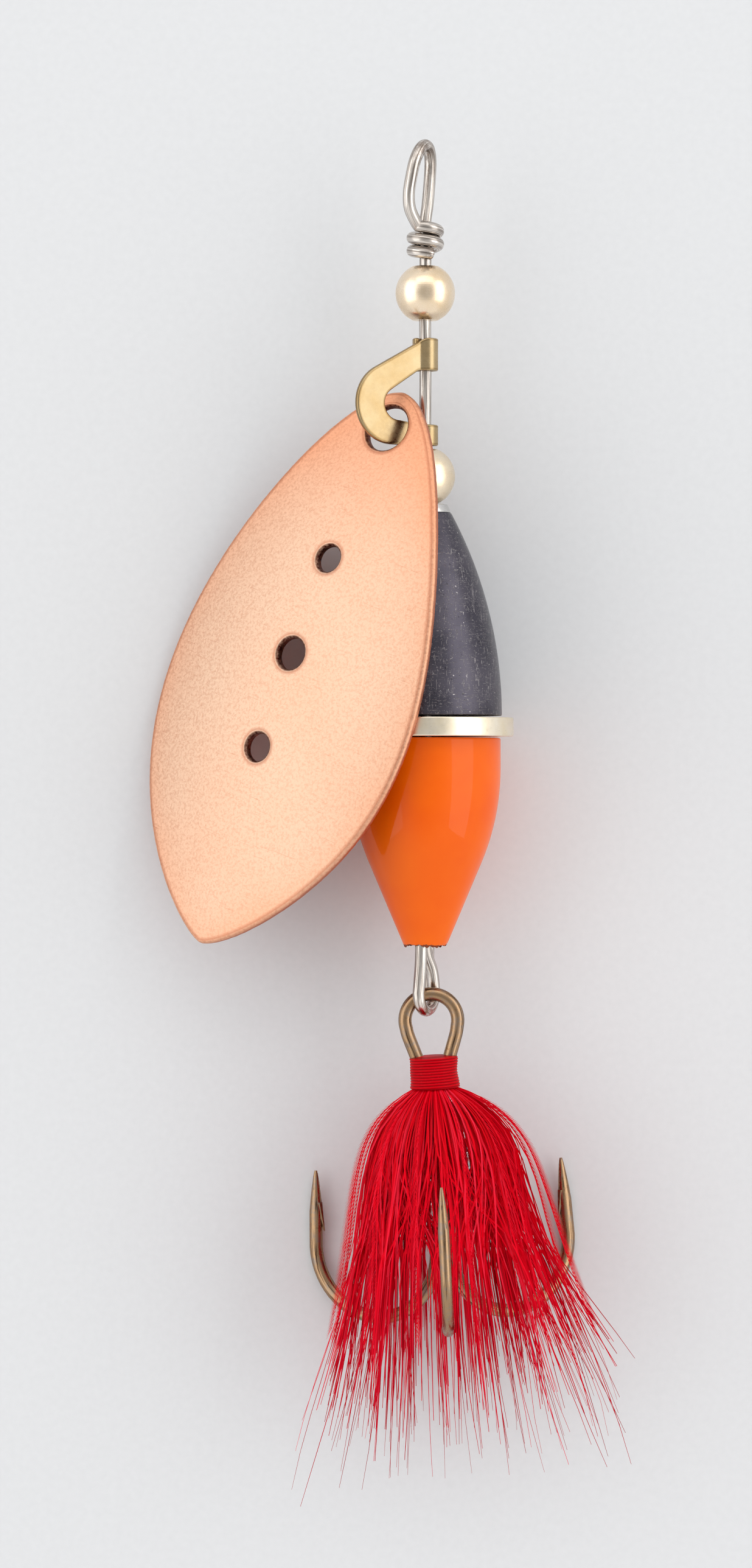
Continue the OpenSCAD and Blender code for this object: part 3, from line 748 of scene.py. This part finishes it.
def buildBlade():
    hangAt = np.array(joints["blade_swing"]["pos_m"]) / mm
    turn = (turnAbout((0, 1, 0), -blade["roll"]) @ turnAbout((1, 0, 0), -blade["pitch"])
            @ turnAbout((0, 0, 1), -blade["lean"]))
    s = 0.5 - 0.5 * np.cos(np.linspace(0, math.pi, 260))
    ahead, behind = blade["blunt"]
    width = blade["width"] / 2 * np.sin(np.pi * s ** blade["skew"]).clip(0, 1) ** (ahead + behind * s)
    y = blade["top"] - blade["length"] * s
    outline = np.vstack([np.column_stack([width, y]), np.column_stack([-width, y])[::-1][1:-1]])
    outline = resampleLoop(outline, blade["outlineStep"])
    outline = outline + seed.normal(0, blade["shearMm"], outline.shape)  # the sheared rim isn't perfect
    ring = np.linspace(0, 2 * math.pi, 56, endpoint=False)
    loops = [np.column_stack([size / 2 * np.cos(ring), -at + size / 2 * np.sin(ring)])
             for at, size in blade["holes"]]
    drop = blade["mid"] ** 2 / (2 * blade["along"])

    def place(flat, h):
        x, y = flat[:, 0], flat[:, 1] + blade["mid"]
        inner = blade["along"] - blade["across"]
        reach = inner + np.sqrt(blade["across"] ** 2 - x ** 2)
        z = np.sqrt(reach ** 2 - y ** 2)
        normal = unit(np.column_stack([x, (reach - inner) * y / reach, (reach - inner) * z / reach]))
        point = np.column_stack([x, flat[:, 1], z + drop - blade["along"]]) + normal * h[:, None]
        return point @ turn.T + hangAt

    *shape, wear = sheetShape(outline, loops, blade["half"], blade["edge"], blade["spacing"], place)
    flow = shape[2]
    away = np.concatenate([np.linalg.norm(part[:, None, :2] - outline[None], axis=2).min(1)
                           for part in np.array_split(flow, 30)])
    # painted reflection: a band within a few mm of the rim and across the top end, where the copper is tinted
    # warmer
    near = 0.6 * np.exp(-away / 1.5) + 0.7 * np.exp(-((flow[:, 1] - 1) / 8) ** 2)
    # the walls of the holes, which carry the painted dark red-brown shade
    wall = np.zeros(len(flow))
    for at, size in blade["holes"]:
        wall = np.maximum(wall, (np.hypot(flow[:, 0], flow[:, 1] + at) < size / 2 + 0.12) * 1.0)
    makePiece("bladeSheet", shape, "blade", bladeCopper, ["blade"],
              {"wear": wear, "holeWall": wall, "edgeNear": near})


buildBlade()
print("stage: clevis and blade made")


# treble hook

hook = {"at": (0.5, -68.6, 0), "lean": 3, "sag": 1.8, "radius": 0.55, "eye": 2.17, "shank": 0.66,
        "bend": 5.75, "bendStart": 18.9, "point": 12.5, "wrapStart": 2.9, "wrapLength": 2.75,
        "pointIn": 0.35, "pointSteps": 26, "pointFrom": 0.42,      # how far the point leans in and narrows
        "pressed": (0.14, 0.06), "barbAt": (0.42, 2.7), "barbAngle": 11, "barbLength": 2.4,
        "barbSize": (0.34, 0.38)}
hookTurn = turnAbout((0, 0, 1), hook["lean"]) @ turnAbout((1, 0, 0), hook["sag"])


def hookWorld(points):
    return np.asarray(points) @ hookTurn.T + np.array(hook["at"])


def hookEye():
    low = math.radians(30)
    sides = []
    for sign in (-1, 1):
        arc = [[sign * x, y, 0] for y, x in (onCircle(hook["eye"], a) for a in range(0, 106, 7))]
        leg = smoothCurve([arc[-1], [sign * 1.95, -1.25, 0], [sign * 1.4, -2.9, -0.05],
                           [sign * 0.85, -4.6, -0.2],
                           [sign * hook["shank"] * math.cos(low), -5.4, -hook["shank"] * math.sin(low)]], 6)
        sides.append(np.vstack([arc[:-1], leg]))
    path = np.vstack([sides[0][::-1][:-1], sides[1]])
    return sweepTube(path, np.full(len(path), hook["radius"]), 20, (0, 0, 1))


def hookLeg(azimuth):
    # the path is flat first, as distance from the shank's middle and distance down, then turned round
    a = math.radians(azimuth)
    mid, count = hook["shank"] + hook["bend"], hook["pointSteps"]
    flat = [[hook["shank"], s] for s in np.arange(4.4, hook["bendStart"], 0.6)]
    flat += [np.array([mid, hook["bendStart"]]) + onCircle(hook["bend"], 180 - t) for t in range(0, 181, 6)]
    legEnd = len(flat)
    for t in np.linspace(1 / count, 1, count):
        flat.append([mid + hook["bend"] - hook["pointIn"] * t,
                     hook["bendStart"] + (hook["point"] - hook["bendStart"]) * t])

    def turned3d(flat):
        flat = np.array(flat)
        return np.column_stack([flat[:, 0] * math.cos(a), -flat[:, 1], flat[:, 0] * math.sin(a)])

    total = np.arange(len(flat))
    forged = np.clip((total - legEnd + 28) / 20, 0, 1)           # the bend is pressed a little flat
    thick = hook["radius"] * (1 - hook["pressed"][0] * forged)
    deep = hook["radius"] * (1 + hook["pressed"][1] * forged)
    t = (np.clip((total - legEnd) / count, 0, 1) - hook["pointFrom"]) / (1 - hook["pointFrom"])
    taper = np.where(t < 0, 1, np.clip(1 - t, 0, 1) ** 0.62 * 0.97 + 0.03)
    normal = (-math.sin(a), 0, math.cos(a))
    leg = sweepTube(turned3d(flat), np.column_stack([thick * taper, deep * taper]), 20, normal, True)
    root = np.array([mid + hook["bend"] - hook["barbAt"][0], hook["point"] + hook["barbAt"][1]])
    way = onCircle(1, 90 + hook["barbAngle"])
    slim = np.linspace(1, 0.12, 7)[:, None]
    ends = [root + way * t for t in np.linspace(0, hook["barbLength"], 7)]
    return [leg, sweepTube(turned3d(ends), slim * hook["barbSize"], 8, normal, True)]


for name, node, parts in (("hookDouble", "hook_double", [hookEye()] + hookLeg(210) + hookLeg(330)),
                          ("hookSingle", "hook_single", hookLeg(90))):
    points, faces, flow = joinShapes(parts)
    makePiece(name, (hookWorld(points), faces, flow), "treble", hookSteel, [node])

thread = {"turns": 12, "radius": 2.02, "waist": 0.10, "foot": 0.07, "groove": 0.06, "lumps": 0.03,
          "rows": 150, "around": 96}


def buildThread():
    angle = np.arange(thread["around"]) * 2 * math.pi / thread["around"]
    points, lay = [], []
    for v in np.linspace(0, 1, thread["rows"]):
        y = hook["wrapLength"] * (v - 1) - hook["wrapStart"]
        size = thread["radius"] - thread["waist"] * math.sin(math.pi * v) + thread["foot"] * (1 - v)
        shoulder = min(1, math.sqrt(max(0, v) / 0.05 + 0.12), math.sqrt(max(0, 1 - v) / 0.09 + 0.30))
        wave = np.abs(np.sin(math.pi * (v * thread["turns"] + angle / (2 * math.pi))))
        r = size * shoulder - thread["groove"] * (1 - wave) + thread["lumps"] * np.sin(angle * 3 + v * 9)
        points.append(np.column_stack([r * np.cos(angle), np.full(len(angle), y), r * np.sin(angle)]))
        lay.append(wave)
    points = np.vstack(points)
    makePiece("threadWrap", (hookWorld(points), tubeFaces(thread["rows"], thread["around"]), points),
              "treble", threadRed, ["thread_wrap"], {"lay": np.concatenate(lay)}, smoothAngle=80)


buildThread()
print("stage: hook made")


# hackle: nine feathers of fine fibres tied in under the thread

hackle = {"points": 13, "reach": (4.9, 6.2), "lowReach": 3.6, "wide": 33, "lowWide": 20, "lowFrom": 6,
          "tie": 5.45, "tieRadius": 1.45, "flareMm": 25, "flareCurve": 1.8, "widest": 18, "ground": -7.1,
          "clumps": 8, "holdFrom": 3.0, "holdOver": 12, "shadeMm": 30,
          # hairs: count, count in a low feather, length, thickness, pull to a lock, swing at the tip
          "hairs": [(160, 60, (5, 16), 0.053, 0.8, 0.85), (92, 14, (12, 30), 0.072, 1.05, 1.1),
                    (16, 4, (24, 34), 0.046, 0.2, 1.0), (30, 4, (1.5, 6), 0.028, 0.0, 1.0)],
          # two stems that keep their fine barbs
          "stemTurn": (-14, 14), "stemReach": (1.05, 1.11), "stemLength": 21.0, "stemThick": 0.06,
          "stemSpring": 2.6, "barbThick": 0.022}
# azimuth and flare: how far the tips of each feather swing away from the shank, in mm
feathers = [(3, 11.0), (30, 8.5), (60, 3.5), (120, 2.5), (150, 6.0), (177, 7.5),
            (243, 0.8), (270, 0.4), (297, 0.8)]


def fibreCloud(paths, widths, along, shade):
    # paths is fibres x points x 3: each becomes a thin three-sided tapered hair
    count, steps = paths.shape[:2]
    heading = unit(np.gradient(paths, axis=1))
    side = unit(np.cross(heading, np.array([0.3, 0.2, 1.0])))
    other = np.cross(heading, side)
    points = []
    for k in range(3):
        a = 2 * math.pi * k / 3
        points.append(paths + widths[..., None] * (math.cos(a) * side + math.sin(a) * other))
    points = np.stack(points, 2).reshape(-1, 3)
    index = np.arange(count * steps * 3).reshape(count, steps, 3)
    a, b = index[:, :-1], index[:, 1:]
    quads = np.stack([a, np.roll(a, -1, 2), np.roll(b, -1, 2), b], -1).reshape(-1, 4)
    caps = np.vstack([index[:, 0, ::-1], index[:, -1]])
    faces = [tuple(q) for q in quads.tolist()] + [tuple(c) for c in caps.tolist()]
    flow = np.stack([np.repeat(shade * 40, steps * 3), np.zeros(count * steps * 3),
                     np.repeat(along.ravel() * 30, 3)], 1)
    return (points, faces, flow), np.repeat(along.ravel(), 3), np.repeat(shade, steps * 3)


def hacklePath(azimuth, reach, spring, length, flare, drift, wave, t):
    # springs out from the tie within a few mm, then trails back and swings away at the tips
    azimuth, reach, spring, length, flare, drift = [
        np.reshape(np.asarray(v, float), (-1, 1)) for v in (azimuth, reach, spring, length, flare, drift)]
    s = length * t
    far = s / hackle["flareMm"]
    out = hackle["tieRadius"] + reach * (1 - np.exp(-s / spring)) + flare * far ** hackle["flareCurve"]
    out = out / (1 + (out / hackle["widest"]) ** 6) ** (1 / 6)
    a = np.radians(azimuth + drift * far) + wave[:, :1] * 0.04 * np.sin(s / 4 + wave[:, 1:] * 6)
    return np.stack([out * np.cos(a), -hackle["tie"] - s, out * np.sin(a)], -1)


def buildFeather(number):
    azimuth, flare = feathers[number]
    lowOne = number >= hackle["lowFrom"]                          # the thin ones, on the floor side
    wide = hackle["lowWide"] if lowOne else hackle["wide"]
    right = 0.5 + 0.5 * math.cos(math.radians(azimuth))
    reach = hackle["lowReach"] if lowOne else (1 - right) * hackle["reach"][0] + right * hackle["reach"][1]
    t = np.linspace(0, 1, hackle["points"])[None] ** 1.15
    pick, clumps = seed.uniform, hackle["clumps"]
    clumpAz = azimuth + np.linspace(-wide, wide, clumps) + pick(-4, 4, clumps)
    clumpReach = reach * pick(0.35, 1.1, clumps)
    clumpFlare = flare * pick(0.15, 1.1, clumps)
    clumpDrift = seed.normal(0, 6, clumps)
    clumpLength = pick(0.0, 1.0, clumps)
    cloud = []
    for full, few, lengths, thick, pull, swing in hackle["hairs"]:
        count = few if lowOne else full
        clump = seed.integers(0, clumps, count)
        share = 0.55 * clumpLength[clump] + 0.45 * pick(0, 1, count)
        length = lengths[0] + (lengths[1] - lengths[0]) * share
        size = pick(0.08, 1.12, count) ** 0.75
        wave = seed.normal(0, 1, (count, 2))
        own = hacklePath(azimuth + pick(-wide, wide, count), reach * size,
                         pick(2.9, 4.6 + 2.6 * right, count), length,
                         flare * swing * size * pick(0.3, 1.15, count),
                         seed.normal(0, 6 * swing, count), wave, t)
        shared = hacklePath(clumpAz[clump], clumpReach[clump], 4.2 + 2.0 * right, length,
                            clumpFlare[clump], clumpDrift[clump], wave * 0.3, t)
        far = np.clip((length[:, None] * t - hackle["holdFrom"]) / hackle["holdOver"], 0, 1)
        held = (pull * pick(0.55, 1.05, count)[:, None] * far * far * (3 - 2 * far))[..., None]
        widths = thick * (1.08 - 0.72 * t ** 3) * pick(0.7, 1.2, count)[:, None]
        along = np.clip(length[:, None] * t / hackle["shadeMm"], 0, 1)
        cloud.append((own * (1 - held) + shared * held, widths, along, seed.random(count)))
    for turn, size in [] if lowOne else zip(hackle["stemTurn"], hackle["stemReach"]):
        stemT = np.linspace(0, 1, 64)
        spine = hacklePath(azimuth + turn, reach * size, hackle["stemSpring"], hackle["stemLength"],
                           0.6 * flare, 3.0, np.zeros((1, 2)), stemT)[0]
        cloud.append((spine[None, ::2], hackle["stemThick"] * (1.1 - 0.9 * stemT[None, ::2]),
                      stemT[None, ::2] * 0.6, np.array([0.8])))
        heading = unit(np.gradient(spine, axis=0))
        radial = unit(spine * np.array([1, 0, 1]))
        at = np.arange(3, 60)
        bend = np.linspace(0, 1, 5)[None, :, None]
        for flip in (-1, 1):
            across = unit(np.cross(heading, radial))[at] * flip
            grow = (0.7 + 0.6 * np.sin(at / 63 * math.pi))[:, None, None]
            way = unit(heading[at] * 1.5 + across * 0.45 + radial[at] * 0.6)
            barbs = spine[at][:, None] + way[:, None] * bend * grow + heading[at][:, None] * bend ** 2 * 0.4
            cloud.append((barbs, hackle["barbThick"] * (1.1 - 0.9 * bend[..., 0]) * np.ones((len(at), 5)),
                          np.broadcast_to(0.2 + 0.5 * bend[..., 0], (len(at), 5)), seed.random(len(at))))
    shapes, alongs, shades = [], [], []
    for path, widths, along, shade in cloud:
        path = hookWorld(path)
        path[..., 2] = np.maximum(path[..., 2], hackle["ground"] + 0.3 * along)
        shape, a, s = fibreCloud(path, widths, along, shade)
        shapes.append(shape)
        alongs.append(a)
        shades.append(s)
    makePiece(f"hackleFeather_{number + 1}", joinShapes(shapes), "treble", hackleRed,
              [f"hackle_{number + 1}"],
              {"along": np.concatenate(alongs), "shade": np.concatenate(shades)}, smoothAngle=80)


for number in range(len(feathers)):
    buildFeather(number)

tinsel = {"width": 0.07, "thick": 0.02, "twist": 75, "rows": 40, "spring": 2.6, "flare": 0.5, "drift": 4,
          "strips": [(62, 4.2, 9.5), (99, 3.0, 11.5)]}            # azimuth, reach, length


def buildTinsel():  # short strips of metallised film among the feathers
    for number, (azimuth, reach, length) in enumerate(tinsel["strips"]):
        t = np.linspace(0, 1, tinsel["rows"])
        path = hookWorld(hacklePath(azimuth, reach, tinsel["spring"], length, tinsel["flare"],
                                    tinsel["drift"], np.zeros((1, 2)), t)[0])
        twist = np.radians(tinsel["twist"] * np.sin(t * 5 + number * 2))
        side = np.column_stack([np.cos(twist), 0 * t, np.sin(twist)]) * tinsel["width"]
        up = np.column_stack([-np.sin(twist), 0 * t, np.cos(twist)]) * tinsel["thick"]
        points = np.stack([path - side, path - side + up, path + side + up, path + side], 1).reshape(-1, 3)
        makePiece(f"tinselStrip_{number + 1}", (points, tubeFaces(tinsel["rows"], 4), points),
                  "treble", tinselFilm)


buildTinsel()
print("stage: hackle made")


# pale floor, soft studio light, camera

studio = {"floorSize": 2.4, "floorGap": 0.00002,
          "sky": 0.955, "skyTop": 0.5, "light": (1.0, 1.0, 0.995), "aim": (0, -0.05, 0),
          # place, size and power of each panel
          "leftPanel": ((-1.5, 0.15, 0.78), (1.5, 2.4), 9.9),
          "rightPanel": ((1.5, 0.15, 0.9), (1.2, 2.4), 12.4),
          "topPanel": ((-0.06, 1.5, 1.2), (2.1, 0.9), 5.4),
          "camera": (-4.05, -49.2, 420), "lens": 117.4, "sensor": 36, "clip": (0.01, 10)}


def buildFloor():
    low = min(cadLow[2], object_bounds()[0][2]) - studio["floorGap"]
    size = studio["floorSize"] / 2
    mesh = bpy.data.meshes.new("paleFloor")
    mesh.from_pydata([(-size, -size, low), (size, -size, low), (size, size, low), (-size, size, low)],
                     [], [(0, 1, 2, 3)])
    mesh.materials.append(floorPaper)
    addObject("paleFloor", mesh)


def buildLight():
    world = bpy.data.worlds.new("softRoom")
    bpy.context.scene.world = world
    world.use_nodes = True
    tree = world.node_tree
    tree.nodes.clear()
    place = addNode(tree, "TexCoord", {}).outputs["Generated"]
    height = addNode(tree, "SeparateXYZ", {0: place}).outputs["Z"]
    glow = addNode(tree, "MapRange", {"Value": height, "From Min": 0.76, "From Max": 0.95,  # dim above
                                      "To Min": studio["sky"], "To Max": studio["skyTop"]})
    back = addNode(tree, "Background", {"Color": studio["light"] + (1,), "Strength": glow})
    addNode(tree, "OutputWorld", {"Surface": back})
    for name in ("leftPanel", "rightPanel", "topPanel"):
        at, size, power = studio[name]
        lamp = bpy.data.lights.new(name, "AREA")
        lamp.shape = "RECTANGLE"
        lamp.size, lamp.size_y = size
        lamp.energy = power
        lamp.color = studio["light"]
        panel = addObject(name, lamp)
        z = unit(np.array(at) - studio["aim"])
        x = unit(np.cross((0, 1, 0) if abs(z[1]) < 0.7 else (0, 0, 1), z))
        y = np.cross(z, x)
        panel.matrix_world = Matrix([[x[i], y[i], z[i], at[i]] for i in range(3)] + [[0, 0, 0, 1]])
        panel.visible_camera = False


def buildCamera():
    data = bpy.data.cameras.new("camera")
    data.sensor_width = studio["sensor"]
    data.lens = studio["lens"]
    data.clip_start, data.clip_end = studio["clip"]
    camera = addObject("camera", data)
    camera.location = tuple(v * mm for v in studio["camera"])
    bpy.context.scene.camera = camera
    bpy.context.scene.view_settings.view_transform = "Standard"


buildFloor()
buildLight()
buildCamera()
print("stage: studio made")
